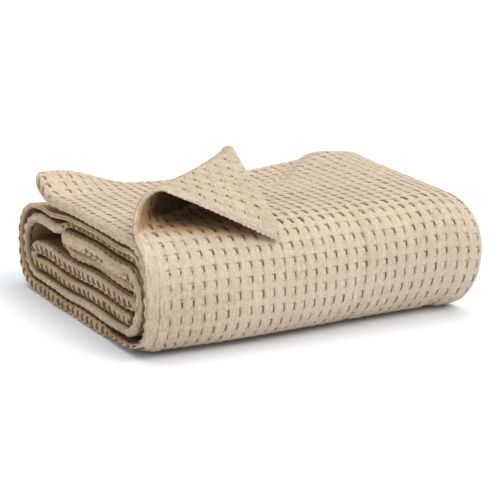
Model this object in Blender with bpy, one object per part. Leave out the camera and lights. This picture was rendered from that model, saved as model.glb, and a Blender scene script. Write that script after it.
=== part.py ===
"""A waffle weave cotton blanket, folded into a strip and then back and forth into a bundle.

The front long edge runs along X, Y goes to the back and Z is up. The section in Y and Z is one
strip of cloth that winds from the core to the outside, and the outermost ply is a thin sheet
that leaves the strip under the bundle and ends on top, with its left corner turned back.
Sizes are metres, and the two tables are millimetres.
"""

import math
from collections import namedtuple

import bpy

MM = 0.001

# The bundle.
LENGTH = 0.390          # along the front edge
DEPTH = 0.370           # from front to back
END_INSET = 0.0006      # how far the longest ply stays inside LENGTH
STRIP_START = 70        # y of the strip's inner end, mm
STRIP_END = 300         # y of its outer end, on top, mm
RUN_GAP = 95            # the most between two rows of a straight run, mm
TIGHT_STEPS = 6         # steps round a small turn of the core
WIDE_STEPS = 12         # steps round a wide turn
SQUARENESS = 0.78       # 1 makes the front turn an ellipse, and less makes it fuller

# One row for each run of the strip, from the core outwards, in mm.
# rise_a and thick_a hold before ramp_a, rise_b and thick_b after ramp_b.
# turn_y is the centre of the turn at the run's end, reach its half width, inset the left edge.
Run = namedtuple("Run", "name rise_a rise_b thick_a thick_b ramp_a ramp_b turn_y reach inset")
RUNS = [
    Run("core bottom", 30.5, 30.5, 12.5, 12.5, 0, 0, 312, 9.0, 5.0),
    Run("core middle", 48.0, 48.0, 16.0, 16.0, 0, 0, 72, 9.0, 7.0),
    Run("core top", 64.5, 64.5, 12.5, 12.5, 0, 0, 214, 9.0, 9.0),
    Run("loop top", 81.8, 81.8, 16.5, 16.5, 0, 0, 72, 31.0, 2.5),
    Run("loop bottom", 18.6, 18.6, 8.6, 8.6, 0, 0, 318, 36.5, 2.0),
    Run("inner cover", 83.6, 96.2, 13.0, 6.0, 268, 215, 66, 37.6, 4.0),
    Run("outer cover", 104.8, 97.5, 6.0, 6.2, 225, 290, 318, 49.5, 1.5),
    Run("base", 6.5, 7.8, 13.0, 5.0, 135, 95, 72, 61.0, 0.0),
    Run("top", 122.6, 117.6, 6.0, 14.0, 78, 130, STRIP_END, 0.0, 0.5),
]

INNER_COVER = RUNS[5]

# A row across the strip: its middle, the normal on the path's left, and what it belongs to.
Row = namedtuple("Row", "y z left_y left_z thick inset run")

# The fold between the covers hangs down in front of the loop, in mm.
HANG_AFTER = "inner cover"
HANG_LOW = 46           # z where it turns up again
HANG_BEND = 52          # z where it leaves the top's curve
HANG_GAP = 8.8          # between its two legs
QUARTER_ANGLES = [math.radians(a) for a in (22.5, 45.0, 67.5, 90.0)]

# The hollow behind the core shows at the left end and closes further in, in metres.
HOLLOW_DROP = 0.0155
HOLLOW_DEEP = (0.012, 0.085)
HOLLOW_SIDE = 1

# The outermost ply, in mm.
PLY = 3.0
PLY_LOW = 1.5           # z of its middle under the bundle
PLY_TOP = 130.3         # z of its middle on top
PLY_TURN_Y = 75         # y of the front turn's centre
PLY_REACH = 72.0        # half width of the front turn
PLY_END = 212           # y of its end on the left, under the fold
PLY_SKEW_FROM = 205     # x where the end begins to run back to the right
PLY_SKEW = 0.5          # and how far for each unit
PLY_END_MAX = 262       # and no further than this
PLY_TOP_STEPS = 15
PLY_TURN_STEPS = 12
ARC_STEPS = 60          # for the length of the front turn

# Its turned corner: a roll about a slanting line, in metres and degrees.
FOLD_ANGLE = math.radians(38.3)
FOLD_START = 0.018      # where the line crosses the left edge, along the ply
ROLL_FRONT = 0.0165     # the roll's radius at the left edge
ROLL_BACK = 0.0240      # and at its far end
ROLL_SPAN = 0.26
TIP_LIFT = 0.0036       # how far the tip stays off the ply below it

# How the bundle is uneven: shares of its height, and where they set in as shares of its sides.
SAG = 0.050             # what the top loses in the middle
SAG_FRONT = 0.25        # and how much of that at the front
BACK_ZONE = (0.1, 0.85)
BACK_HUMP = 0.028       # what it gains at the back right corner
HUMP_ZONE = (0.6, 0.9)
END_DROOP = 0.052       # what it loses at the right end
DROOP_ZONE = (0.86, 1.0)
RIGHT_ROUND = 0.032     # how far the bottom front edge draws back at the right, in metres
ROUND_ZONE = (0.15, 1.0)
RIPPLE = 0.0016         # waves through the runs, in metres
RIPPLE_DEEP = 17        # radians of a wave over DEPTH
RIPPLE_ACROSS = 9       # and over LENGTH
CORNER_LIFT = 0.016     # the top run's left back corner
CORNER_DEEP = (0.235, 0.300)
CORNER_ACROSS = (0.015, 0.090)
INSET_ACROSS = 0.12     # where a run's inset has died out
REST_SNAP = 0.0004      # rows this near the floor lie on it

# The rounded ends of the plies.
END_ROUND = 0.006       # the largest radius
STRIP_EDGE = 0.35       # the least share of its thickness that the strip keeps
PLY_EDGE = 0.45         # and the outermost ply

# Places along X where rows have points, closer near the ends and under the turned corner.
STATIONS = [0.0, 0.0016, 0.005, 0.020, 0.036, 0.052, 0.068, 0.084, 0.100, 0.117, 0.134, 0.151,
            0.168, 0.186, 0.204, 0.224, 0.250, 0.284, 0.330, 0.385, 0.3884, LENGTH]
FINE = range(len(STATIONS))
COARSE = (0, 1, 2, 5, 9, 13, 16, 18, 19, 20, 21)


def smooth(value, low, high):
    """0 before low and 1 after high, whichever is larger, with a soft step between."""
    share = min(1.0, max(0.0, (value - low) / (high - low)))
    return share * share * (3 - 2 * share)


def mix(a, b, share):
    return a + (b - a) * share


def half_turn(centre_y, reach, low, high, side, power=1.0):
    """Rows round half an ellipse from low to high: (y, z) and the normal on the path's left."""
    middle, half = (low + high) / 2, (high - low) / 2
    left = -1 if side * half > 0 else 1
    steps = TIGHT_STEPS if reach < 20 else WIDE_STEPS
    for step in range(1, steps):
        sine, cosine = math.sin(math.pi * step / steps), math.cos(math.pi * step / steps)
        out_y = side * sine ** (2 - power) / reach
        out_z = -math.copysign(abs(cosine) ** (2 - power), cosine) / half
        size = left * math.hypot(out_y, out_z)
        yield (centre_y + side * reach * sine ** power,
               middle - half * math.copysign(abs(cosine) ** power, cosine),
               out_y / size, out_z / size)


def quarter_turn(centre_y, reach, rise, angle, left):
    """A row of the front quarter above HANG_BEND, by its angle from the top."""
    out_y, out_z = -math.sin(angle) / reach, math.cos(angle) / rise
    size = left * math.hypot(out_y, out_z)
    return (centre_y - reach * math.sin(angle), HANG_BEND + rise * math.cos(angle),
            out_y / size, out_z / size)


def hanging_fold(run, following):
    """The fold between two runs that hangs down in front of the loop: down, round and up."""
    for angle in QUARTER_ANGLES:
        yield quarter_turn(run.turn_y, run.reach, run.rise_b - HANG_BEND, angle, -1)
    for step in range(5):
        angle = math.pi * step / 4
        yield (run.turn_y - run.reach - HANG_GAP / 2 * (1 - math.cos(angle)),
               HANG_LOW - HANG_GAP / 2 * math.sin(angle), math.cos(angle), -math.sin(angle))
    for angle in reversed(QUARTER_ANGLES):
        yield quarter_turn(run.turn_y, run.reach + HANG_GAP, following.rise_a - HANG_BEND, angle, 1)


def run_rows(run, start):
    """The y of each row of a straight run, with rows at its ramp, in the run's order."""
    marks = [start, run.turn_y]
    if run.ramp_a != run.ramp_b:
        marks += [run.ramp_a, (run.ramp_a + run.ramp_b) / 2, run.ramp_b]
    marks.sort(reverse=run.turn_y < start)
    rows = [marks[0]]
    for mark in marks[1:]:
        parts = math.ceil(abs(mark - rows[-1]) / RUN_GAP)
        rows += [mix(rows[-1], mark, part / parts) for part in range(1, parts)] + [mark]
    return rows


def ramp_share(run, y):
    """How far a run has passed from its first rise and thickness to its second."""
    if run.ramp_a == run.ramp_b:
        return 0.0
    forward = 1 if run.ramp_b > run.ramp_a else -1
    return smooth(y * forward, run.ramp_a * forward, run.ramp_b * forward)


def strip_path():
    """The rows of the strip's middle line, from its inner end outwards, in mm."""
    path = []
    start, side = STRIP_START, 1
    for number, run in enumerate(RUNS):
        for y in run_rows(run, start):
            share = ramp_share(run, y)
            path.append(Row(y, mix(run.rise_a, run.rise_b, share), 0.0, side,
                            mix(run.thick_a, run.thick_b, share), run.inset, run.name))
        if number + 1 == len(RUNS):
            break
        following = RUNS[number + 1]
        if run.name == HANG_AFTER:
            bend = list(hanging_fold(run, following))
        else:
            power = SQUARENESS if run.name == "base" else 1.0
            bend = list(half_turn(run.turn_y, run.reach, run.rise_b, following.rise_a, side, power))
        for step, spot in enumerate(bend, 1):
            share = step / (len(bend) + 1)
            path.append(Row(*spot, mix(run.thick_b, following.thick_a, share),
                            mix(run.inset, following.inset, share), "turn"))
        start, side = run.turn_y, -side
    return path


def end_thickness(x, thick, least):
    """The share of its thickness that a ply keeps near its rounded ends."""
    depth = min(x, LENGTH - x)
    radius = min(thick / 2, END_ROUND)
    if depth >= radius:
        return 1.0
    return max(least, math.sqrt(1 - (1 - depth / radius) ** 2))


def uneven(x, y, z):
    """Moves a point of the even bundle to where it lies; layers keep their order."""
    across, deep, high = x / LENGTH, y / DEPTH, z / (PLY_TOP * MM)
    middle, back = math.sin(math.pi * across) ** 2, smooth(deep, *BACK_ZONE)
    lower = SAG * middle * mix(SAG_FRONT, 1.0, back) + END_DROOP * smooth(across, *DROOP_ZONE)
    raised = BACK_HUMP * smooth(across, *HUMP_ZONE) * back
    wave = math.sin(RIPPLE_DEEP * deep + RIPPLE_ACROSS * across)
    wave *= RIPPLE * math.sin(math.pi * min(high, 1.0))
    drawn = RIGHT_ROUND * smooth(across, *ROUND_ZONE) * max(0.0, 1 - high) ** 2
    front = max(0.0, 1 - deep * 2) ** 2
    return x, y + drawn * front, z * (1 - lower + raised) + wave


class Ply:
    """The outermost ply: its path in Y and Z, and the roll of its turned corner."""

    def __init__(self):
        low, high = PLY_LOW, PLY_TOP
        self.half, self.middle = (high - low) / 2, (high + low) / 2
        self.angles = [math.pi * step / ARC_STEPS for step in range(ARC_STEPS + 1)]
        self.arc = [0.0]
        for a, b in zip(self.angles, self.angles[1:]):
            self.arc.append(self.arc[-1] + math.dist(self.round(a), self.round(b)))

    def round(self, angle):
        """A point of the front turn, by its angle from the top."""
        sine, cosine = max(0.0, math.sin(angle)), math.cos(angle)
        return (PLY_TURN_Y - PLY_REACH * sine ** SQUARENESS,
                self.middle + self.half * math.copysign(abs(cosine) ** SQUARENESS, cosine))

    def angle_at(self, along):
        """The angle where the turn's arc from the top has a length."""
        along = min(max(along, 0.0), self.arc[-1])
        for number in range(len(self.arc) - 1):
            if along <= self.arc[number + 1]:
                share = (along - self.arc[number]) / (self.arc[number + 1] - self.arc[number])
                return mix(self.angles[number], self.angles[number + 1], share)
        return self.angles[-1]

    def base(self, v):
        """(y, z) and the outward normal at v along the ply, in mm; on top v is y."""
        if v >= PLY_TURN_Y:
            return (v, PLY_TOP), (0.0, 1.0)
        angle = self.angle_at(PLY_TURN_Y - v)
        sine, cosine = max(0.0, math.sin(angle)), math.cos(angle)
        out = (-sine ** (2 - SQUARENESS) / PLY_REACH,
               math.copysign(abs(cosine) ** (2 - SQUARENESS), cosine) / self.half)
        size = math.hypot(*out)
        return self.round(angle), (out[0] / size, out[1] / size)

    def place(self, x, v, offset):
        """A point of the ply, offset from its middle, with the corner's roll, in metres."""
        along_x, along_v = math.cos(FOLD_ANGLE), math.sin(FOLD_ANGLE)
        over = -along_v * x + along_x * (v - FOLD_START)
        spot = along_x * x + along_v * (v - FOLD_START)
        if over <= 0:
            return self.raised(x, v, offset)
        root_x, root_v = x + along_v * over, v - along_x * over
        radius = mix(ROLL_FRONT, ROLL_BACK, min(1.0, max(0.0, spot / ROLL_SPAN)))
        if over < math.pi * radius:
            angle = over / radius
            out = (radius - offset) * math.sin(angle)
            rise = radius - (radius - offset) * math.cos(angle)
            return self.raised(root_x - along_v * out, root_v + along_x * out, rise)
        back = over - math.pi * radius
        whole = along_x * (PLY_END * MM - FOLD_START) - math.pi * ROLL_FRONT
        rise = 2 * radius - (2 * radius - TIP_LIFT) * min(1.0, back / whole) - offset
        return self.raised(root_x + along_v * back, root_v - along_x * back, rise)

    def raised(self, x, v, rise):
        (y, z), (out_y, out_z) = self.base(v / MM)
        return x, y * MM + out_y * rise, z * MM + out_z * rise

    def rows(self, x):
        """The ply's v at each row for a place along X, in metres."""
        end = min(PLY_END + PLY_SKEW * max(0.0, x / MM - PLY_SKEW_FROM), PLY_END_MAX)
        bottom = PLY_TURN_Y - self.arc[-1]
        turn = [mix(bottom, PLY_TURN_Y, step / PLY_TURN_STEPS) for step in range(PLY_TURN_STEPS)]
        top = [mix(PLY_TURN_Y, end, step / PLY_TOP_STEPS) for step in range(PLY_TOP_STEPS + 1)]
        return [v * MM for v in turn + top]


class Surface:
    """Collects rows of points, each on its own stations along X, and the faces between them."""

    def __init__(self):
        self.points, self.faces = [], []

    def row(self, stations, place):
        """A row as {station: point number}; place gives the point at a station."""
        numbers = {}
        for station in stations:
            numbers[station] = len(self.points)
            self.points.append(place(station))
        return numbers

    def skin(self, a, b):
        """Faces between two rows; where one row is finer, its points join the wide face."""
        shared = sorted(set(a) & set(b))
        for first, last in zip(shared, shared[1:]):
            there = [a[s] for s in sorted(a) if first <= s <= last]
            home = [b[s] for s in sorted(b, reverse=True) if first <= s <= last]
            self.faces.append(there + home)

    def slanted_skin(self, a, b, outside):
        """Triangles between two rows of the ply, split along the corner's slanting fold."""
        for first, last in zip(FINE, FINE[1:]):
            halves = [(a[first], a[last], b[last]), (a[first], b[last], b[first])]
            self.faces += halves if outside else [half[::-1] for half in halves]

    def close_ends(self, outer_a, outer_b, inner_a, inner_b):
        """The two end faces of one step of a ply."""
        for station, order in ((min(outer_a), 1), (max(outer_a), -1)):
            face = [outer_a[station], outer_b[station], inner_b[station], inner_a[station]]
            self.faces.append(face[::order])


def strip_place(row, side):
    """Gives the place of a point of the strip: row's left side for 1, its right side for -1."""
    def place(station):
        x = STATIONS[station]
        half = side * row.thick / 2 * end_thickness(x, row.thick * MM, STRIP_EDGE)
        y, z = (row.y + row.left_y * half) * MM, (row.z + row.left_z * half) * MM
        shift = row.inset * MM * (1 - smooth(x, 0.0, INSET_ACROSS)) + END_INSET * (1 - 2 * x / LENGTH)
        x, y, z = uneven(x + shift, y, z)
        if row.run == "top":
            z += CORNER_LIFT * smooth(y, *CORNER_DEEP) * (1 - smooth(x, *CORNER_ACROSS))
        if row.run == "inner cover" and side == HOLLOW_SIDE:
            z -= HOLLOW_DROP * smooth(x, *HOLLOW_DEEP) * (1 - ramp_share(INNER_COVER, row.y))
        return x, y, 0.0 if z < REST_SNAP else z
    return place


def ply_place(ply, number, side):
    """Gives the place of a point of the outermost ply: outside for 1, inside for -1."""
    def place(station):
        x = STATIONS[station]
        half = side * PLY / 2 * MM * end_thickness(x, PLY * MM, PLY_EDGE)
        x, y, z = uneven(*ply.place(x, ply.rows(x)[number], half))
        return x, y, 0.0 if z < REST_SNAP else z
    return place


def build_blanket():
    path, ply, surface = strip_path(), Ply(), Surface()
    # The ply leaves the strip's left side at the base run's ramp.
    root = next(n for n, row in enumerate(path) if row.run == "base" and row.y <= RUNS[-2].ramp_a)
    left, right = [], []
    for number, row in enumerate(path):
        fine = FINE if root <= number <= root + 1 else COARSE
        left.append(surface.row(fine, strip_place(row, 1)))
        right.append(surface.row(COARSE, strip_place(row, -1)))
    for number in range(len(path) - 1):
        if number != root:
            surface.skin(left[number], left[number + 1])
        surface.skin(right[number + 1], right[number])
        surface.close_ends(left[number], left[number + 1], right[number], right[number + 1])
    surface.skin(right[0], left[0])
    surface.skin(left[-1], right[-1])

    outside, inside = [left[root]], [left[root + 1]]
    for number in range(PLY_TURN_STEPS + PLY_TOP_STEPS + 1):
        outside.append(surface.row(FINE, ply_place(ply, number, 1)))
        inside.append(surface.row(FINE, ply_place(ply, number, -1)))
    for number in range(len(outside) - 1):
        surface.slanted_skin(outside[number], outside[number + 1], True)
        surface.slanted_skin(inside[number], inside[number + 1], False)
        surface.close_ends(outside[number], outside[number + 1], inside[number], inside[number + 1])
    surface.skin(outside[-1], inside[-1])
    return surface


def standing(points):
    """The points with the middle of their box over the origin and their foot on the floor."""
    low = [min(p[axis] for p in points) for axis in range(3)]
    high = [max(p[axis] for p in points) for axis in range(3)]
    centre = (low[0] + high[0]) / 2, (low[1] + high[1]) / 2
    return [(x - centre[0], y - centre[1], z - low[2]) for x, y, z in points]


def cotton():
    material = bpy.data.materials.new("cotton")
    material.use_nodes = True
    shader = material.node_tree.nodes["Principled BSDF"]
    shader.inputs["Base Color"].default_value = (0.72, 0.62, 0.49, 1.0)
    shader.inputs["Roughness"].default_value = 0.92
    shader.inputs["Metallic"].default_value = 0.0
    return material


for old in list(bpy.data.objects):
    bpy.data.objects.remove(old, do_unlink=True)

surface = build_blanket()
mesh = bpy.data.meshes.new("blanket")
mesh.from_pydata(standing(surface.points), [], surface.faces)
mesh.validate()
mesh.materials.append(cotton())
blanket = bpy.data.objects.new("blanket", mesh)
bpy.context.scene.collection.objects.link(blanket)
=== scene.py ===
import math
import bpy
import numpy as np
from mathutils import Matrix, Vector


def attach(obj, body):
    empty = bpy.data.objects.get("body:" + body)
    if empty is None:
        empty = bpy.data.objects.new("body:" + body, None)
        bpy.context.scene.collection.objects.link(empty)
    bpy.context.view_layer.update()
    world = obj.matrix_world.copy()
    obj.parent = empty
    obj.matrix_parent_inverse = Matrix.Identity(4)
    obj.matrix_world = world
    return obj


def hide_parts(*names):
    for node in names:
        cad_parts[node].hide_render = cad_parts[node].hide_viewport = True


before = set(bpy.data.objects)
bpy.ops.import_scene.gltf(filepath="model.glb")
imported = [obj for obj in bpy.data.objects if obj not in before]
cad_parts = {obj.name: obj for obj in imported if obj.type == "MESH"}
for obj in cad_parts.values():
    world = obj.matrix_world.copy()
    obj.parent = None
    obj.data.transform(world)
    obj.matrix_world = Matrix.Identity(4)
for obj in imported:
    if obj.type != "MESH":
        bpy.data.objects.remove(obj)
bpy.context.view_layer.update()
mm = 0.001

# the folded bundle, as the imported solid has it
bundle = {
    "length": 0.390,
    "depth": 0.370,
    "middleY": 0.185,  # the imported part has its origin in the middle
    "stripStart": 70,
    "squareness": 0.78,
    "plyTop": 130.3,
    "cornerLift": 0.019,
    "cornerFlare": 0.0035,
    "leftFan": 0.0006,
    "tuckedUnder": 0.0155,  # how far the underside of the inner cover drops, away from the left end
}

# how it sags and bulges, metres; a span is the share of its length, depth or height that it grows over
slump = {
    "sag": 0.050,
    "sagInFront": 0.25,
    "sagSpan": (0.1, 0.85),
    "endDroop": dict(depth=0.052, span=(0.86, 1.0)),
    "backHump": dict(depth=0.028, span=(0.6, 0.9)),
    "ripple": dict(depth=0.0016, deep=17, across=9),
    "rightRound": dict(depth=0.036, span=(0.15, 1.0)),
    "endLift": dict(depth=0.0034, span=(0.78, 0.96), height=(0.3, 1.0)),
    "backLift": dict(depth=0.6, span=(0.6, 0.8)),
    "endBelly": dict(depth=0.0068, span=(0.75, 1.0), low=0.3, power=0.9),
}

# the strip's runs from the core outwards, mm: where the turn at the run's end is and its reach,
# height, thickness, where a ramp between two of them is, and the left inset; then how open the holes
# on its folded end are, which are painted with shade, how far they lie off its middle, how far the end sinks in,
# and how knobbly it is
runs = [
    dict(name="coreBottom", turn=335, reach=9.0, z=29.4, thick=14.0, inset=5.0,
         slot=1.2, slotAt=-0.8, sink=2.5, bead=0.5),
    dict(name="coreMiddle", turn=72, reach=9.0, z=48.0, thick=16.0, inset=7.0,
         slot=1.2, slotAt=0.6, sink=1.0, bead=0.6),
    dict(name="coreTop", turn=237, reach=9.0, z=64.5, thick=12.5, inset=9.0,
         slot=0.12, sink=3.5, bead=1.4),
    dict(name="loopTop", turn=72, reach=31.0, z=81.8, thick=16.5, inset=2.5,
         slot=0.8, slotAt=1.5, sink=-1.0, bead=1.5),
    dict(name="loopBottom", turn=318, reach=38.5, z=19.0, thick=(8.6, 6.2), ramp=(180, 310), inset=2.0, bead=0.5),
    dict(name="innerCover", turn=66, reach=37.6, z=(83.6, 96.2), thick=(13.0, 6.0), ramp=(272, 231), inset=4.0,
         slot=(0.0, 1.3), sink=(0.0, 5.5), bead=(1.2, 0.4)),
    dict(name="outerCover", turn=318, reach=49.5, z=(104.8, 97.5), thick=(6.0, 6.2), ramp=(225, 290), inset=1.5,
         sink=2.5, bead=0.3, power=0.86),
    dict(name="base", turn=72, reach=61.0, z=(6.5, 7.8), thick=(13.0, 5.0), ramp=(135, 95), inset=-2.0,
         slot=1.2, slotAt=-1.6, sink=0.5, bead=0.8, power=bundle["squareness"]),
    dict(name="top", turn=300, reach=0.0, z=117.6, thick=14.0, inset=0.5,
         slot=0.5, slotAt=2.6, bead=0.8),
]
runNumber = {run["name"]: number for number, run in enumerate(runs)}
endStyle = ("inset", "slot", "slotAt", "sink", "bead")
hang = {"low": 46, "bend": 52, "gap": 8.8}  # the fold that hangs down in front of the loop

# one cell of the weave, mm, and how deep its parts are
weave = {
    "across": 12.0,
    "along": 15.6,
    "stripAlong": 13.6,
    "puff": 0.60,
    "groove": 0.42,
    "slit": 2.1,
    "depths": (0.55, 1.15),
    # the rest are shares of a cell
    "valley": 0.10,
    "ledgeAt": 0.235,
    "ledgeWidth": 0.07,
    "upperLedge": 0.45,
    "lowerLedge": 0.25,
    "slitHalf": 0.25,
    "slitWidth": 0.055,
    "slitFade": (0.04, 0.07),
    "upperEnd": (-0.15, 0.22),
    "hook": dict(at=-0.08, reach=(0.10, 0.30), level=0.215, width=0.065, depth=0.9),
    "foot": dict(at=0.09, reach=(0.08, 0.18), level=-0.205, width=0.055, depth=0.25),
    # how open the cloth is where its slits grow compact and where they grow wide
    "compact": (0.15, 0.5),
    "wide": (0.5, 1.0),
    "openMore": (0.01, 0.06),
    "wideMore": 0.05,
    "compactShorter": 0.085,
    "wideShorter": 0.05,
    "wideFlatter": 0.45,
}


def smooth(value, low, high):
    share = np.clip((value - low) / (high - low), 0.0, 1.0)
    return share * share * (3 - 2 * share)


def fade(value, low, high):
    return 1 - smooth(value, low, high)


def hump(value, at, width):
    return np.exp(-((value - at) / width) ** 2)


def grown(value, part):
    return part["depth"] * smooth(value, *part["span"])


def faded(value, part):
    return part["depth"] * fade(value, *part["span"])


def mix(a, b, share):
    return a + (b - a) * share


def uneven(x, y, z):
    # how the bundle sags and bulges; x, y, z are arrays in metres from the front left corner
    across, deep, high = x / bundle["length"], y / bundle["depth"], z / (bundle["plyTop"] * mm)
    middle = np.sin(np.pi * np.clip(across, 0, 1)) ** 2
    back = smooth(deep, *slump["sagSpan"])
    lower = slump["sag"] * middle * mix(slump["sagInFront"], 1.0, back) + grown(across, slump["endDroop"])
    raised = grown(across, slump["backHump"]) * back
    ripple, lift, belly = slump["ripple"], slump["endLift"], slump["endBelly"]
    wave = np.sin(ripple["deep"] * deep + ripple["across"] * across) * ripple["depth"]
    wave = wave * np.sin(np.pi * np.clip(high, 0, 1))
    drawn = grown(across, slump["rightRound"]) * np.clip(1 - high, 0, None) ** 2
    front = np.clip(1 - deep * 2, 0, None) ** 2
    lifted = grown(across, lift) * smooth(high, *lift["height"]) * (1 + grown(deep, slump["backLift"]))
    bulge = np.clip(belly["low"] + (1 - belly["low"]) * high, 0, 1)
    out = grown(across, belly) * np.sin(np.pi * bulge) ** belly["power"]
    return x + out, y + drawn * front, z * (1 - lower + raised) + wave + lifted


def softNoise(a, b, seed):
    # a smooth uneven field, about -1 to 1, for arrays a and b in radians
    random = np.random.default_rng(seed)
    total = 0
    for step in range(5):
        fa, fb = random.uniform(0.5, 1.6, 2) * (1 + 0.55 * step)
        pa, pb = random.uniform(0, 6.28, 2)
        wave = np.sin(fa * a + pa + 1.3 * np.sin(fb * b * 0.6 + pb)) * np.cos(fb * b + pb)
        total = total + wave / (1 + 0.5 * step)
    return total / 2.2


def cellLines(first, last, fine):
    # where the mesh has its lines, in cells: closer at each slit, for cells from first to last
    cells = range(int(math.floor(first)) - 1, int(math.ceil(last)) + 2)
    places = [n + f for n in cells for f in fine]
    return np.array([p for p in places if first - 1e-6 <= p <= last + 1e-6])


fineAcross = (-0.42, -0.25, -0.12, -0.055, 0.0, 0.055, 0.12, 0.25, 0.42)
fineAlong = (-0.40, -0.29, -0.235, -0.18, -0.06, 0.06, 0.18, 0.235, 0.29, 0.40)


def inTable(table, *cells):
    # each cell's own value out of a table that repeats
    return table[tuple(np.mod(np.round(c).astype(int), n) for c, n in zip(cells, table.shape))]


def sideMark(fu, fv, mark):
    # the hook or the foot at an end of a slit
    reached = fade(np.abs(fu - mark["at"]), *mark["reach"])
    return mark["depth"] * (reached * hump(fv, mark["level"], mark["width"]))


def weaveRelief(u, v, plain, opened, seed):
    # the height of the weave over the cloth, mm; u and v count cells, slits are at whole numbers
    fu, fv = u - np.round(u), v - np.round(v)
    depth = inTable(np.random.default_rng(seed).uniform(*weave["depths"], (97, 89)), u, v)
    # the yarns lie in flat bundles between narrow valleys
    across = 1 - hump(np.abs(fu), 0, weave["valley"])
    upper = weave["upperLedge"] * hump(fv, weave["ledgeAt"], weave["ledgeWidth"])
    lower = weave["lowerLedge"] * hump(fv, -weave["ledgeAt"], weave["ledgeWidth"])
    body = weave["groove"] * (across * (1 - upper - lower) - 1)
    crown = np.cos(np.pi * (np.abs(fu) - 0.5)) * (0.6 + 0.4 * np.cos(2 * np.pi * fv)) - 1
    crown = weave["puff"] * crown
    wide = smooth(opened, *weave["wide"])
    more, moreAbove = weave["openMore"]
    width = weave["slitWidth"] + opened * (more + moreAbove * smooth(fv, *weave["upperEnd"]))
    width = width + weave["wideMore"] * wide
    shorter = weave["compactShorter"] * smooth(opened, *weave["compact"]) * (1 - wide)
    shorter = shorter + weave["wideShorter"] * wide
    slit = np.exp(-(np.abs(fu + 0.3 * (width - weave["slitWidth"])) / width) ** 3)
    before, after = weave["slitFade"]
    slit = slit * fade(np.abs(fv - shorter * (1 - wide)) + shorter,
                       weave["slitHalf"] - before, weave["slitHalf"] + after)
    marks = np.maximum(sideMark(fu, fv, weave["hook"]), sideMark(fu, fv, weave["foot"])) * opened
    hole = np.maximum(slit * (0.8 + 0.1 * opened), marks)
    return ((body + crown) * (1 - weave["wideFlatter"] * wide) - weave["slit"] * depth * hole) * (1 - plain)


def turnRows(centre, reach, low, high, side, power):
    # rows round half an ellipse, evenly spaced: y, z and the normal on the path's left
    middle, half = (low + high) / 2, (high - low) / 2
    left = -1 if side * half > 0 else 1
    angle = np.linspace(0, np.pi, 181)
    sine, cosine = np.sin(angle), np.cos(angle)
    y = centre + side * reach * np.abs(sine) ** power
    z = middle - half * np.sign(cosine) * np.abs(cosine) ** power
    outY = side * np.abs(sine) ** (2 - power) / reach
    outZ = -np.sign(cosine) * np.abs(cosine) ** (2 - power) / half
    size = left * np.hypot(outY, outZ)
    return np.stack([y, z, outY / size, outZ / size], 1)


def hangRows(run, after):
    # down in front of the loop, round and up again
    rows = []
    quarter = np.radians(np.linspace(0, 90, 46))
    legs = [(run["reach"], run["z"][1] - hang["bend"], -1),
            (run["reach"] + hang["gap"], after["z"][0] - hang["bend"], 1)]
    for reach, rise, left in legs:
        outY, outZ = -np.sin(quarter) / reach, np.cos(quarter) / rise
        size = left * np.hypot(outY, outZ)
        rows.append(np.stack([run["turn"] - reach * np.sin(quarter), hang["bend"] + rise * np.cos(quarter),
                              outY / size, outZ / size], 1))
    turn = np.linspace(0, np.pi, 31)
    middle = np.stack([run["turn"] - run["reach"] - hang["gap"] / 2 * (1 - np.cos(turn)),
                       hang["low"] - hang["gap"] / 2 * np.sin(turn), np.cos(turn), -np.sin(turn)], 1)
    return np.concatenate([rows[0], middle, rows[1][::-1]])


def both(run, key):
    # a run's setting before and after its ramp
    value = run.get(key, 0.0)
    return value if isinstance(value, tuple) else (value, value)


def stripPath():
    # the strip's middle line as close rows: y, z, normal y, normal z, thickness, run number, end style
    path, start, side, count = [], bundle["stripStart"], 1, 60
    for number, run in enumerate(runs):
        y = np.linspace(start, run["turn"], count)
        low, high = run.get("ramp", (0, 1))
        way = 1 if high > low else -1
        share = smooth(y * way, low * way, high * way)
        z, thick = mix(*both(run, "z"), share), mix(*both(run, "thick"), share)
        slope = np.gradient(z, y)
        norm = np.hypot(1, slope)
        style = [mix(*both(run, key), share) for key in endStyle]
        path.append(np.stack([y, z, -side * slope / norm, side / norm, thick,
                              np.full(count, number), *style], 1))
        if number + 1 == len(runs):
            break
        after = runs[number + 1]
        if run["name"] == "innerCover":
            bend = hangRows(run, after)
        else:
            bend = turnRows(run["turn"], run["reach"], both(run, "z")[1], both(after, "z")[0], side,
                            run.get("power", 1.0))
        share = np.linspace(0, 1, len(bend) + 2)[1:-1]
        thick = mix(both(run, "thick")[1], both(after, "thick")[0], share ** 2.5)
        style = [mix(both(run, key)[1], both(after, key)[0], share) for key in endStyle]
        path.append(np.column_stack([*bend.T, thick, np.full(len(bend), number + 0.5), *style])[1:-1])
        start, side = run["turn"], -side
    path = np.concatenate(path)
    length = np.concatenate([[0], np.cumsum(np.hypot(np.diff(path[:, 0]), np.diff(path[:, 1])))])
    return path, length


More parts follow.
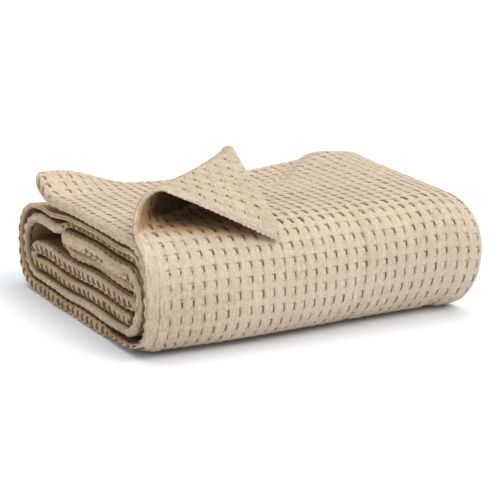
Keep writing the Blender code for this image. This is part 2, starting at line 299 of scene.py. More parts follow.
def clothPiece(name, across, along, points, coordinates, values, keep, flip):
    # a grid with its points moved to their places, and the weave's coordinates kept on it
    rows, columns = points.shape[:2]
    bpy.ops.mesh.primitive_grid_add(x_subdivisions=columns - 1, y_subdivisions=rows - 1, size=1, calc_uvs=False)
    piece = bpy.context.object
    piece.name = name
    mesh = piece.data
    flat = np.empty(len(mesh.vertices) * 3)
    mesh.vertices.foreach_get("co", flat)
    flat = flat.reshape(-1, 3)
    column = np.rint((flat[:, 0] + 0.5) * (columns - 1)).astype(int)
    row = np.rint((flat[:, 1] + 0.5) * (rows - 1)).astype(int)
    mesh.vertices.foreach_set("co", points[row, column].ravel())
    store = mesh.attributes.new("weave", "FLOAT_VECTOR", "POINT")
    store.data.foreach_set("vector", coordinates[row, column].ravel())
    for attribute, value in values.items():
        store = mesh.attributes.new(attribute, "FLOAT", "POINT")
        store.data.foreach_set("value", np.broadcast_to(value, (rows, columns))[row, column].ravel())
    mesh.update()
    bpy.ops.object.mode_set(mode="EDIT")
    bpy.ops.mesh.select_all(action="DESELECT")
    bpy.ops.object.mode_set(mode="OBJECT")
    mesh.vertices.foreach_set("select", ~keep[row, column])
    bpy.ops.object.mode_set(mode="EDIT")
    bpy.ops.mesh.delete(type="VERT")
    bpy.ops.object.mode_set(mode="OBJECT")
    bpy.ops.object.shade_smooth()
    if flip:
        mesh.flip_normals()
    mesh.materials.append(cotton)
    # the width, length and area that the cloth had before it was folded, from mm to metres
    width, length = np.ptp(across) * mm, np.ptp(along) * mm
    cells = np.outer(np.gradient(along), np.gradient(across))
    share = (cells * keep).sum() / cells.sum()
    dict(flat=(width, length), area=width * length * share)
    return piece


def toPart(x, y, z):
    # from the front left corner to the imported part's frame
    return np.stack([x - bundle["length"] / 2, y - bundle["middleY"], np.maximum(z, 0)], -1)


class Maths:
    # a socket that adds Math nodes when it is used in an expression
    def __init__(self, nodes, socket):
        self.nodes, self.socket = nodes, socket

    def apply(self, operation, *others, flip=False):
        values = [self, *others][::-1] if flip else [self, *others]
        return self.nodes.add("ShaderNodeMath", {"operation": operation}, dict(enumerate(values)))

    def size(self): return self.apply("ABSOLUTE")
    def most(self, other): return self.apply("MAXIMUM", other)
    def __add__(self, other): return self.apply("ADD", other)
    def __radd__(self, other): return self.apply("ADD", other)
    def __sub__(self, other): return self.apply("SUBTRACT", other)
    def __rsub__(self, other): return self.apply("SUBTRACT", other, flip=True)
    def __mul__(self, other): return self.apply("MULTIPLY", other)
    def __rmul__(self, other): return self.apply("MULTIPLY", other)


class Nodes:
    def __init__(self, material):
        self.tree = material.node_tree

    def add(self, kind, settings=None, inputs=None, output=0):
        node = self.tree.nodes.new(kind)
        for key, value in (settings or {}).items():
            if key == "stops":
                while len(node.color_ramp.elements) < len(value):
                    node.color_ramp.elements.new(0.5)
                for element, (place, colour) in zip(node.color_ramp.elements, value):
                    element.position = place
                    element.color = (*colour, 1)
            else:
                setattr(node, key, value)
        for key, value in (inputs or {}).items():
            if isinstance(value, Maths):
                self.tree.links.new(value.socket, node.inputs[key])
            else:
                node.inputs[key].default_value = value
        return Maths(self, node.outputs[output])

    def step(self, value, low, high):
        return self.add("ShaderNodeMapRange", {"interpolation_type": "SMOOTHSTEP"},
                        {0: value, 1: low, 2: high, 3: 0.0, 4: 1.0})

    def within(self, value, low, high):
        return 1 - self.step(value.size(), low, high)

    def attribute(self, name, output=2):
        return self.add("ShaderNodeAttribute", {"attribute_name": name}, output=output)

    def noise(self, place, scale, detail, **more):
        return self.add("ShaderNodeTexNoise", {}, {"Vector": place, "Scale": scale, "Detail": detail, **more})

    def blend(self, share, colour, other, kind="MIX"):
        return self.add("ShaderNodeMix", {"data_type": "RGBA", "blend_type": kind},
                        {0: share, 6: colour, 7: (*other, 1)}, 2)


# the cotton: widths, reaches and places are shares of a cell
cottonLook = {
    "wobble": dict(scale=210.0, shift=0.05),
    "drift": dict(scale=34.0, shift=0.08),
    "stem": dict(width=0.072, lean=-0.12, leanOdd=0.16, odd=0.04, aside=0.3, core=0.45),
    "stemMore": dict(opened=0.10, upper=0.60, wide=1.1, short=1.2),
    "stemLow": dict(compact=0.085, short=0.11, wide=0.07),
    "stemHigh": dict(always=0.01, compact=0.05, short=0.05),
    "stemFade": (0.03, 0.05),
    "hook": dict(reach=0.11, at=0.13, width=0.085, wideThick=0.6, wideBroad=0.2, up=0.02, fade=2.2),
    "foot": dict(up=0.02, core=0.3, fade=0.7),
    "rightFoot": dict(at=-0.066, core=0.044, fade=0.11),
    "leftFoot": dict(at=0.121, core=0.088, fade=0.154),
    "marks": dict(hook=0.9, rightFoot=0.25, leftFoot=0.8, least=0.3, opened=0.8, shortLess=0.4),
    "slitShadeStrength": dict(least=0.55, opened=0.15, odd=0.25, short=0.15),
    "upright": dict(core=0.01, fade=0.06, strength=0.6),
    "level": dict(up=0.01, core=0.01, fade=0.04, least=0.15, opened=0.5, patches=(0.3, 0.6)),
    "yarns": 9,
    "fullTurn": 6.2832,
    "floats": 1.25,
    "streaks": (5.5, 1.3),
    "tone": dict(least=0.42, ribs=0.14, fuzz=0.75, grain=1.15, streaks=0.7, plain=0.9, blotch=0.3, floats=0.06),
    "dark": (0.44, 0.35, 0.25),
    "middle": (0.635, 0.525, 0.405),
    "light": (0.79, 0.69, 0.565),
    # the colour of the painted shade in the grooves between the cells
    "grooveShadeColour": (0.36, 0.255, 0.155),
    # painted shade, mixed in by the shade attribute: a warm tint, then a deep brown and the darkest brown, which
    # the slits and holes take too
    "warmPaintedShade": (1.0, 0.88, 0.725),
    "deep": (0.30, 0.185, 0.10),
    "darkestPaintedShade": (0.090, 0.052, 0.021),
    "warmShade": (0.0, 0.4),
    "deepShade": (0.1, 1.05),
    "pitShade": (1.0, 2.0),
    "grooveShadeAmount": 0.5,
    "slitShadeAmount": 0.93,
    # how the painted shade of the holes, the seam's trough and the darker parts of the ply is drawn
    "slot": dict(wobble=0.2, span=(0.10, 0.42), tint=0.84),
    "relief": dict(ribs=0.5, floats=0.25, fuzz=0.8, slit=1.6, groove=0.7),
    "bump": 1.0,
    "bumpHeight": 0.0004,
    "roughness": 0.93,
    "specular": 0.08,
}


def slitNodes(nodes, look, fu, fv, chance, opened):
    # the slit with its short hooks, painted as shade, wider where the cloth is open
    half, short = weave["slitHalf"], nodes.attribute("short")
    stem, more, low, high = look["stem"], look["stemMore"], look["stemLow"], look["stemHigh"]
    lean = fv * ((chance - 0.5) * stem["leanOdd"] + stem["lean"]) + (chance - 0.5) * stem["odd"]
    upper = nodes.step(fv, *weave["upperEnd"])
    wide = nodes.step(opened, *weave["wide"])
    width = opened * (more["opened"] + more["upper"] * upper) + wide * more["wide"] + short * more["short"]
    width = (width + 1.0) * stem["width"]
    aside = (width - stem["width"]) * stem["aside"]
    slit = nodes.within(fu - lean + aside, width * stem["core"], width)
    compact = nodes.step(opened, *weave["compact"]) * (1 - wide)
    low = compact * low["compact"] + short * low["short"] + wide * low["wide"]
    high = high["always"] + compact * high["compact"] - short * high["short"]
    before, after = look["stemFade"]
    slit = slit * (1 - nodes.step((fv - high).size() + low, half - before, half + after))

    hook, foot, marks, dark = look["hook"], look["foot"], look["marks"], look["slitShadeStrength"]
    thick = (wide * hook["wideThick"] + 1) * hook["width"]
    broad = (wide * hook["wideBroad"] + 1) * hook["reach"]
    topHook = nodes.within(fv - half - opened * hook["up"], thick * 0.5, thick)
    topHook = topHook * nodes.within(fu + hook["at"], broad, broad * hook["fade"])
    feet = nodes.within(fv + half - foot["up"], hook["width"] * foot["core"], hook["width"] * foot["fade"])
    rightFoot, leftFoot = (
        feet * nodes.within(fu + one["at"], one["core"], one["fade"])
        for one in (look["rightFoot"], look["leftFoot"]))
    hooks = (topHook * marks["hook"]).most(rightFoot * marks["rightFoot"])
    hooks = hooks * (marks["least"] + opened * marks["opened"]) * (0.6 + chance * 0.4)
    hooks = hooks * (1 - short * marks["shortLess"])
    slit = slit.most(hooks.most(leftFoot * (1 - opened) * marks["leftFoot"]))
    return slit * (dark["least"] + opened * dark["opened"] + chance * dark["odd"] + short * dark["short"])


def cottonWeave(name, look):
    material = bpy.data.materials.new(name)
    material.use_nodes = True
    nodes = Nodes(material)
    shader, link = nodes.tree.nodes["Principled BSDF"], nodes.tree.links.new
    split = nodes.tree.nodes.new("ShaderNodeSeparateXYZ")
    link(nodes.attribute("weave", 1).socket, split.inputs[0])
    u, v, plain = (Maths(nodes, split.outputs[n]) for n in range(3))
    place = nodes.add("ShaderNodeTexCoord", output=3)
    # fine unevenness of the yarn, so no line is quite straight
    wobble = nodes.noise(place, look["wobble"]["scale"], 2.0) - 0.5
    drift = nodes.noise(place, look["drift"]["scale"], 2.0) - 0.5
    blotch = nodes.noise(place, 14.0, 3.0)
    wholeU, wholeV = u.apply("ROUND"), v.apply("ROUND")
    fu = u - wholeU + wobble * look["wobble"]["shift"]
    fv = v - wholeV + drift * look["drift"]["shift"]
    cell = nodes.add("ShaderNodeCombineXYZ", {}, {0: wholeU, 1: wholeV})
    chance = nodes.add("ShaderNodeTexWhiteNoise", {"noise_dimensions": "2D"}, {"Vector": cell})
    opened = nodes.attribute("opened")
    slit = slitNodes(nodes, look, fu, fv, chance, opened) * (1 - plain)
    # grooves between the cells, with painted shade in them
    upright, level = look["upright"], look["level"]
    grooveUp = nodes.within(fu, upright["core"], upright["fade"]) * upright["strength"]
    grooveAcross = nodes.within(fv - weave["slitHalf"] + level["up"], level["core"], level["fade"])
    grooveAcross = grooveAcross * (level["least"] + level["opened"] * opened)
    grooveAcross = grooveAcross * nodes.step(blotch, *level["patches"])
    groove = grooveUp.most(grooveAcross) * (1 - plain)
    # yarns: fine ribs along and across
    turns = look["fullTurn"] * look["yarns"]
    ribs = (u * turns + wobble * 5.0).apply("SINE") * 0.5 + 0.5
    floats = (v * (turns * look["floats"]) + drift * 6.0).apply("SINE") * 0.5 + 0.5
    fuzz = nodes.noise(place, 900.0, 4.0, Roughness=0.7)
    grain = nodes.noise(place, 430.0, 3.0, Roughness=0.8)
    streaksU, streaksV = look["streaks"]
    lines = nodes.add("ShaderNodeCombineXYZ", {}, {0: u * streaksU, 1: v * streaksV, 2: opened})
    streaks = nodes.noise(lines, 1.0, 3.0)
    parts = look["tone"]
    tone = (parts["least"] + parts["ribs"] * ribs) + (fuzz - 0.5) * parts["fuzz"] + (grain - 0.5) * parts["grain"]
    tone = tone + (streaks - 0.5) * (parts["streaks"] + plain * parts["plain"])
    tone = tone + (blotch - 0.5) * parts["blotch"] - parts["floats"] * floats
    stops = [(0.0, look["dark"]), (0.5, look["middle"]), (1.0, look["light"])]
    colour = nodes.add("ShaderNodeValToRGB", {"stops": stops}, {0: tone})
    # painted shade in the grooves between the cells
    colour = nodes.blend(groove * look["grooveShadeAmount"], colour, look["grooveShadeColour"])
    # painted shade inside the folds, then painted shade in the slits and the holes
    shade = nodes.attribute("shade")
    colour = nodes.blend(nodes.step(shade, *look["warmShade"]), colour, look["warmPaintedShade"], "MULTIPLY")
    colour = nodes.blend(nodes.step(shade, *look["deepShade"]), colour, look["deep"])
    colour = nodes.blend(nodes.step(shade, *look["pitShade"]), colour, look["darkestPaintedShade"])
    hole = look["slot"]
    holes = nodes.step(nodes.attribute("slot") + wobble * hole["wobble"], *hole["span"])
    slit = slit.most(holes * hole["tint"])
    # painted shade in the slits and the holes
    colour = nodes.blend(slit * look["slitShadeAmount"], colour, look["darkestPaintedShade"])
    link(colour.socket, shader.inputs["Base Color"])
    parts = look["relief"]
    relief = ribs * parts["ribs"] + floats * parts["floats"] + fuzz * parts["fuzz"]
    relief = relief - slit * parts["slit"] - groove * parts["groove"]
    bump = nodes.add("ShaderNodeBump", {},
                     {"Strength": look["bump"], "Distance": look["bumpHeight"], "Height": relief})
    link(bump.socket, shader.inputs["Normal"])
    shader.inputs["Roughness"].default_value = look["roughness"]
    shader.inputs["Specular IOR Level"].default_value = look["specular"]
    return material


cotton = cottonWeave("waffleCotton", cottonLook)

# the outermost ply with its turned corner, mm over the cloth and metres for the fold
ply = {
    "thick": 3.0,
    "low": 1.5,
    "top": 130.3,
    "turnY": 75,
    "reach": 72.0,
    "end": 230.5,  # where it ends on top at the left
    "endBack": 300,  # and at the right
    "endSlant": 0.19,  # its end runs a little forward to the right, as far as the fold
    "endSpan": (200, 345),
    "foldAngle": math.radians(34.0),
    "foldStart": 0.0272,
    "foldFade": (0.225, 0.275),
    "rollFront": 0.0205,
    "rollBack": 0.0390,
    "rollSpan": 0.257,
    "rollGrowth": 2.8,
    "rollNarrow": 0.75,  # the roll is narrower than tall at the front
    "tipLift": 0.0028,
    "tipFall": 0.93,
    "rim": 1.0,
    "rimWidth": 8,
    "hem": 19.0,
    "hemLift": 0.3,
    "undersideHem": 0.3,
    "spread": 8.9,  # the columns stand a little wider apart at the left
    "spreadSpan": (30, 145),
    "along": 17.6,
    "rowsInFront": 6.2,
    "rowShift": -0.08,
    "edgeRound": 10.0,  # the radius of its rounded right edge
    "wrap": 18.0,  # how much cloth goes round it
    "gathered": 12,  # rows further past its end than this are left out
    "free": (212, 240),  # its end lies free as far as here
    "merge": 5.5,  # how far its end sinks in further on
    "backRelief": 0.4,  # how much flatter the weave is past the fold
    "fall": 3.5,  # how far its hem falls in towards the layers below, down the front
    "tuck": 11.0,  # how far its lower left corner is tucked in
    "crooked": (0.9, 1.1),  # how far the columns and rows run crooked
    "undersideKept": 0.025,
}

# how open its holes are: wider on top than down the front
plyOpening = {
    "least": 0.12,
    "bottom": dict(depth=0.25, span=(-105, -80)),
    "edge": dict(depth=0.38, span=(-70, -10)),
    "top": dict(depth=0.5, span=(5, 60)),
    "back": dict(depth=0.3, span=(100, 190)),
    "underside": 0.8,
}

# the seam of its hem, further out down the front, with painted shade along its trough
seam = {
    "aside": 0.2,
    "out": 6.5,
    "outBelow": 3.0,
    "belowSpan": (-130, -80),
    "topSpan": (10, 60),
    "ridge": 1.3,
    "trough": dict(at=2.6, width=1.2, depth=0.8),
    "line": 0.38,
}

# the knobs along its edge and the ribs inside its roll
knobs = {"height": 0.5, "reach": (2, 6), "outline": 0.8, "outlineReach": (0, 8)}
ribs = {"height": 0.8, "pitch": 1.37, "turned": (0.15, 0.6), "reach": (24, 34), "shade": 0.4}

# how deep in their own shade the inside of the roll, the cloth under it and the front's hem lie
plyShade = {
    "roll": dict(depth=0.45, span=(0.15, 0.8)),
    "inner": dict(depth=1.6, span=(0.5, 1.15), reach=(5, 46)),
    "rollEdge": (0, 3),
    "rollBack": (150, 240),
    "edge": dict(depth=0.22, span=(0.5, 2.5), below=(20, 60)),
    "under": dict(depth=0.8, hem=12, end=(6, 26), back=(170, 220), fold=(0.015, 0.035)),
    "underSpread": (30, 5),
    "underLength": 0.09,
    "front": (-50, 20),
    "nearHem": dict(span=(40, 180), dark=0.18, warmPaintedShade=0.1),
    "turnedSide": dict(depth=0.175, span=(0.0, 0.02)),
}

# soft creases down the front, mm: a ridge's rise is more than 0, a trough's less
creases = [
    dict(x=247, width=6.0, rise=-2.2, low=-130, high=60),
    dict(x=262, width=7.0, rise=0.7, low=-120, high=20),
    dict(x=350, width=6.0, rise=-2.3, low=-150, high=20),
    dict(x=364, width=4.0, rise=0.8, low=-150, high=-20),
]


class PlyShape:
    def __init__(self):
        self.sine, self.cosine = math.sin(ply["foldAngle"]), math.cos(ply["foldAngle"])
        self.half, self.middle = (ply["top"] - ply["low"]) / 2, (ply["top"] + ply["low"]) / 2
        self.angles = np.linspace(0, np.pi, 721)
        y, z = self.round(self.angles)
        self.arc = np.concatenate([[0], np.cumsum(np.hypot(np.diff(y), np.diff(z)))])
        self.bottom = ply["turnY"] - self.arc[-1]

    def round(self, angle):
        sine, cosine, power = np.abs(np.sin(angle)), np.cos(angle), bundle["squareness"]
        return (ply["turnY"] - ply["reach"] * sine ** power,
                self.middle + self.half * np.sign(cosine) * np.abs(cosine) ** power)

    def base(self, v):
        angle = np.interp(ply["turnY"] - v, self.arc, self.angles)
        y, z = self.round(angle)
        power = 2 - bundle["squareness"]
        outY = -np.abs(np.sin(angle)) ** power / ply["reach"]
        outZ = np.sign(np.cos(angle)) * np.abs(np.cos(angle)) ** power / self.half
        size = np.hypot(outY, outZ)
        flat = v >= ply["turnY"]
        return (np.where(flat, v, y), np.where(flat, ply["top"], z),
                np.where(flat, 0, outY / size), np.where(flat, 1, outZ / size))

    def raised(self, x, v, rise):
        y, z, outY, outZ = self.base(v / mm)
        return x, y * mm + outY * rise, z * mm + outZ * rise

    def over(self, x, v):
        return -self.sine * x + self.cosine * (v - ply["foldStart"])

    def turning(self, x, v):
        # how far past the fold a place lies, how far along it, the roll's radius and the angle turned
        over = self.over(x, v)
        over = np.where(over > 0, over * fade(x, *ply["foldFade"]), over)
        spot = self.cosine * x + self.sine * (v - ply["foldStart"])
        share = np.clip(spot / ply["rollSpan"], 0, 1)
        radius = mix(ply["rollFront"], ply["rollBack"], share ** ply["rollGrowth"])
        return over, share, radius, np.clip(np.maximum(over, 0) / radius, 0, np.pi)

    def place(self, x, v, offset, sink):
        over, share, radius, angle = self.turning(x, v)
        turned = np.maximum(over, 0)
        rootX, rootV = x + self.sine * turned, v - self.cosine * turned
        narrow = mix(ply["rollNarrow"], 1, share)
        out = (radius * narrow - offset) * np.sin(angle)
        rise = radius - (radius - offset) * np.cos(angle)
        back = np.maximum(turned - np.pi * radius, 0)
        whole = self.cosine * (ply["end"] * mm - ply["foldStart"]) - math.pi * ply["rollFront"]
        lay = 2 * radius - (2 * radius - ply["tipLift"]) * np.clip(back / whole, 0, 1) ** ply["tipFall"] - offset
        flatPart = over <= 0
        onRoll = (over > 0) & (back <= 0)
        gx = np.where(flatPart, x, np.where(onRoll, rootX - self.sine * out, rootX + self.sine * back))
        gv = np.where(flatPart, v, np.where(onRoll, rootV + self.cosine * out, rootV - self.cosine * back))
        gr = np.where(flatPart, offset, np.where(onRoll, rise, lay)) - sink
        return self.raised(gx, gv, gr)

    def end(self, x):
        left = ply["end"] - ply["endSlant"] * x / mm
        return mix(left, ply["endBack"], smooth(x / mm, *ply["endSpan"]))


shape = PlyShape()


def plyGrid():
    # columns and rows of the ply, mm over the cloth; slits are at whole cells
    width = bundle["length"] / mm - ply["edgeRound"] + ply["wrap"]
    u = cellLines(0.55, 40, fineAcross)
    x = (u + ply["hem"] / weave["across"] - 0.48) * weave["across"]
    x = x + ply["spread"] * smooth(x, *ply["spreadSpan"])
    u, x = u[x < width - 0.8], x[x < width - 0.8]
    edge = np.linspace(0, ply["hem"] * 0.92, 11)
    u = np.concatenate([u[0] + (edge - x[0]) / weave["across"], u, [u[-1] + 0.1]])
    x = np.concatenate([edge, x, [width]])
    w = cellLines(0, 40, fineAlong)
    v = shape.bottom + (w - ply["rowShift"]) * ply["along"]
    v = v - np.maximum(w - ply["rowsInFront"], 0) * (ply["along"] - weave["along"])
    kept = (v > shape.bottom) & (v < ply["endBack"] - 1)
    v = np.concatenate([[shape.bottom], v[kept], [ply["endBack"]]])
    w = np.concatenate([[w[kept][0] - 0.05], w[kept], [w[kept][-1] + 0.05]])
    return x, u, v, w


def openedAlong(V, side):
    opened = plyOpening["least"] + faded(V, plyOpening["bottom"])
    opened = opened + grown(V, plyOpening["edge"]) + grown(V, plyOpening["top"]) - grown(V, plyOpening["back"])
    return opened if side > 0 else opened * plyOpening["underside"]


def underFlap(X, V, over, radius):
    # how far the turned corner covers a place, for the painted shade under it
    back = np.clip(-over, 0, None)
    turned = (math.pi * radius + 2 * back) / mm
    fromHem = X - shape.sine * turned
    fromEnd = ply["end"] - V - shape.cosine * turned
    spread = mix(*plyShade["underSpread"], np.clip(back / plyShade["underLength"], 0, 1))
    under = plyShade["under"]
    covered = smooth(fromHem, -spread, under["hem"]) * smooth(fromEnd, *under["end"])
    return covered * fade(X, *under["back"])


def buildPly(name, side):
    x, u, v, w = plyGrid()
    X, V = np.meshgrid(x, v)
    U, W = np.meshgrid(u, w)
    # the cloth goes round a rounded right edge
    straight = bundle["length"] / mm - ply["edgeRound"]
    turn = np.maximum(X - straight, 0) / ply["edgeRound"]
    lieX = np.minimum(X, straight) + ply["edgeRound"] * np.sin(turn)
    sink = ply["edgeRound"] * (1 - np.cos(turn))
    # rows that reach past the cloth's end are gathered on it
    end = shape.end(lieX * mm)
    keep = V <= end + ply["gathered"]
    V = np.minimum(V, end)
    toEnd, toLeft = end - V, X
    free = fade(X, *ply["free"])
    over, _, radius, angle = shape.turning(X * mm, V * mm)

    hem = ply["hem"] if side > 0 else ply["hem"] * ply["undersideHem"]
    hemmed = np.maximum(fade(toLeft, hem - 1.5, hem + 0.5), fade(toEnd, 5, 7) * free)
    hemmed = hemmed * (1 - 0.45 * smooth(toLeft, 6, 9) * smooth(V, -40, 0) * (side > 0))
    opened = openedAlong(V, side)
    relief = weaveRelief(U, W, hemmed, opened, 5 + side)
    turnedOver = smooth(shape.over(X * mm, V * mm), -0.02, -0.005) if side > 0 else 1
    relief = relief * (1 - ply["backRelief"] * turnedOver)

    out = seam["out"] + seam["outBelow"] * smooth(V, *seam["belowSpan"])
    fromSeam = toLeft - (hem + seam["aside"] - out * fade(V, *seam["topSpan"]) * (side > 0))
    trough = seam["trough"]
    stitches = hump(fromSeam, 0, seam["ridge"]) - trough["depth"] * hump(fromSeam, trough["at"], trough["width"])
    relief = relief + stitches * (0.8 + 0.5 * softNoise(V / 12, X / 50, 14)) + ply["hemLift"] * hemmed
    ribbed = smooth(angle, *ribs["turned"]) * fade(X, *ribs["reach"]) * (side > 0)
    relief = relief + ribs["height"] * np.cos(X * ribs["pitch"]) * ribbed
    bumps = np.cos(6 * np.pi * W + 1.5 * softNoise(V / 20, X / 30, 41))
    relief = relief + knobs["height"] * bumps * fade(toLeft, *knobs["reach"])
    for crease in creases:
        across = (X - crease["x"] - 2.5 * np.sin(V / 23)) / crease["width"]
        along = smooth(V, crease["low"], crease["low"] + 40) * fade(V, crease["high"] - 40, crease["high"])
        relief = relief + crease["rise"] * np.exp(-across ** 2) * along

    # the turned edge is a thick rim
    half = ply["thick"] / 2 + ply["rim"] * hump(toLeft, 0, ply["rimWidth"]) * smooth(over, -0.03, 0.005)
    fall = ply["fall"] * fade(toLeft, 0, 15) * fade(V, -40, 10) * smooth(V, -150, -95)
    edge = np.clip(np.minimum(toLeft, toEnd + 20 * (1 - free)) / half, 0, 1)
    share = np.sqrt(1 - (1 - edge) ** 2)
    smallWave = 0.35 * softNoise(X / 16, V / 18, 11)
    merge = ply["merge"] * (1 - free) * fade(toEnd, 0, 30)
    offset = side * (half * share + relief * edge) + smallWave * edge - merge - fall
    tucked = ply["tuck"] * fade(V - shape.bottom, 38, 64) * fade(X, 0, 60)
    # the rows and columns of the weave run a little crooked
    inner = smooth(toLeft, 0, 30) * smooth(toEnd, 0, 30)
    crookedX, crookedV = ply["crooked"]
    outline = knobs["outline"] * bumps * fade(toLeft, *knobs["outlineReach"])
    lieX = lieX + crookedX * inner * softNoise(V / 42, X / 60, 31) + outline
    V = V + crookedV * inner * softNoise(V / 55, X / 48, 32)
    placed = shape.place((lieX + tucked) * mm, V * mm, offset * mm, sink * mm)
    points = toPart(*uneven(*placed))

    nearHem, inner = plyShade["nearHem"], plyShade["inner"]
    if side > 0:
        # painted shade inside the roll, darker in the grooves between its ribs, and under the turned corner
        shade = grown(angle, plyShade["roll"]) + grown(angle, inner) * smooth(toLeft, *inner["reach"])
        shade = shade + ribs["shade"] * (0.5 - 0.5 * np.cos(X * ribs["pitch"])) * ribbed
        shade = shade * smooth(toLeft, *plyShade["rollEdge"]) * fade(X, *plyShade["rollBack"])
        # painted shade, warmer and darker towards the hem down the front
        onFront = fade(V, *plyShade["front"])
        hemShade = fade(X, *nearHem["span"]) * onFront
        under = plyShade["under"]
        covered = underFlap(X, V, over, radius) * fade(over, *under["fold"])
        shade = shade + under["depth"] * covered + nearHem["warmPaintedShade"] * hemShade
        # painted shade along the seam's trough
        line = hump(fromSeam, trough["at"], seam["ridge"]) * onFront
        dark = seam["line"] * line * (0.8 + 0.4 * softNoise(V / 12, X / 50, 15))
        dark = np.maximum(dark, nearHem["dark"] * hemShade)
    else:
        # painted shade makes the turned side a little darker
        shade = np.zeros(X.shape)
        dark = grown(over, plyShade["turnedSide"])
        keep &= ((over > -ply["undersideKept"]) & (X < 290)) | (X < 58) | (X > 365)
    # painted shade along the ply's left edge, fading out on top
    shade = shade + faded(toLeft, plyShade["edge"]) * fade(V, *plyShade["edge"]["below"])
    values = {"slot": dark, "shade": shade, "opened": opened, "short": 0.0 if side > 0 else 1.0}
    return clothPiece(name, x, v, points, np.stack([U, W, hemmed], -1), values, keep, side < 0)


outerPly = buildPly("outerPly", 1)
plyUnderside = buildPly("plyUnderside", -1)
print("the outermost ply:", len(outerPly.data.polygons), len(plyUnderside.data.polygons))

# the wound strip
strip = {
    "endRound": 6.0,
    "fineReach": 20.0,  # how far the weave is modelled over the faces from a rounded end
    "coarse": (32, 60, 120, 192),
    "closing": 7.0,  # how far from its two ends the strip narrows
    "rightInset": 9.0,
    "rightShift": 0.37,  # the right end's cells are shifted by this share
    "slotDepth": 2.2,
    "splitDepth": 2.2,
    "ridges": 0.35,
    "ragged": 1.1,
    "raggedReach": (8, 24),
    "cornerRound": 22,
    "cornerRadius": 9,
    "topReach": 8,  # how far the top layer's back corner stands out
    "topReachSpan": (225, 270),
    "outerRelief": 0.5,
}

# the holes across a folded end, mm
holeLook = {
    "width": 0.31,
    "slant": 0.03,
    "sizes": (0.65, 1.1),
    "reachShare": 0.45,
    "reach": 4.2,
    "reachFew": 0.6,
    "reachUsual": (0.9, 0.16),
    "offOdd": 0.7,
    "topCorner": dict(depth=0.55, span=(225, 262)),
    "loop": dict(middle=150, span=(28, 34)),
    "frontTurn": (18, 40),
}

# how deep in its own shade each part of the strip lies
stripShade = {
    "fold": 0.18,
    "foldOfBase": 0.20,
    "foldEdge": dict(depth=0.26, span=(0.6, 1.05)),
    "gap": dict(depth=0.62, span=(1.05, 1.6)),
    "sunk": 0.045,
    "outside": 0.28,
    "outsideEdge": dict(depth=0.22, span=(-3, 9)),
    "underTop": dict(depth=0.8, span=(0.5, 1.2), back=(302, 318)),
    "most": 1.3,
    "right": (0.32, 0.36),
    "split": 0.27,
}
path, pathLength = stripPath()
pathEnd = pathLength[-1]
everywhere = 1000  # further than any place on the strip's width, mm


def lengthAt(name, y):
    # how far along the strip a place on one of its runs is
    rows = np.flatnonzero(path[:, 5] == runNumber[name])
    return pathLength[rows[np.argmin(np.abs(path[rows, 0] - y))]]


def stripRows(fromLength, toLength):
    cells = cellLines(fromLength / weave["stripAlong"], toLength / weave["stripAlong"], fineAcross)
    lengths = np.concatenate([[fromLength], cells * weave["stripAlong"], [toLength]])
    lengths = np.unique(np.round(lengths, 3))
    rows = np.stack([np.interp(lengths, pathLength, path[:, n]) for n in range(path.shape[1])], 1)
    size = np.hypot(rows[:, 2], rows[:, 3])
    rows[:, 2:4] /= size[:, None]
    return lengths, rows


def endHoles(pathY, pathZ, number, holes, offMiddle, along, V, W, quarter, seed):
    # holes open across a folded end, one to a cell, and no two quite alike; they are cut in and painted with
    # shade
    fv = V - np.round(V)
    size = inTable(np.random.default_rng(seed + 1).uniform(*holeLook["sizes"], 997), V)
    odd = inTable(np.random.default_rng(seed + 2).uniform(-1, 1, 991), V)
    # the top layer has them only at its corner, the loop a few small ones in its middle,
    # and the front turn of the outermost run none
    loop, few = holeLook["loop"], number == runNumber["loopTop"]
    holes = np.where(number == runNumber["top"], grown(pathY, holeLook["topCorner"]), holes)
    holes = np.where(few, holes * fade(np.abs(pathY - loop["middle"]), *loop["span"]), holes)
    frontTurn = number == runNumber["base"] + 0.5
    holes = holes * np.where(frontTurn, fade(pathZ, *holeLook["frontTurn"]), 1)
    usual, oddReach = holeLook["reachUsual"]
    reach = np.minimum(quarter * holeLook["reachShare"], holeLook["reach"])
    reach = reach * np.where(few, holeLook["reachFew"], usual + oddReach * odd)
    offMiddle = offMiddle + holeLook["offOdd"] * odd
    patchy = np.clip(0.85 + 0.5 * softNoise(along / 24, W / 60, seed + 9), 0.25, 1.1)
    slot = np.exp(-((fv - holeLook["slant"] * W) / (holeLook["width"] * size)) ** 4) * patchy
    fromHole = np.abs(W - offMiddle * np.minimum(quarter / 8, 1))
    return slot * fade(fromHole, reach - 1, reach + 1.2) * holes * (0.85 + 0.2 * odd), size


def endShade(pathY, number, sunk, W, quarter, atEnd):
    # painted shade on the folded ends: warmer on the ends, darker round them into the gaps between runs, and
    # under the top layer
    outside = (number > runNumber["innerCover"]) & (W > 0)
    share = np.abs(W) / quarter
    under = stripShade["underTop"]
    onFold = stripShade["fold"] + stripShade["foldOfBase"] * (number == runNumber["base"])
    onFold = onFold + grown(share, stripShade["foldEdge"]) + stripShade["sunk"] * np.maximum(sunk, 0) * atEnd
    onFold = onFold + grown(share, stripShade["gap"])
    underTop = grown(share, under) * fade(pathY, *under["back"])
    underTop = np.where(number == runNumber["outerCover"], underTop, 0)
    onRim = faded(W, stripShade["outsideEdge"])
    onOutside = np.where(number > runNumber["base"], onRim, stripShade["outside"] * atEnd + underTop)
    return np.clip(np.where(outside, onOutside, onFold), 0, stripShade["most"])


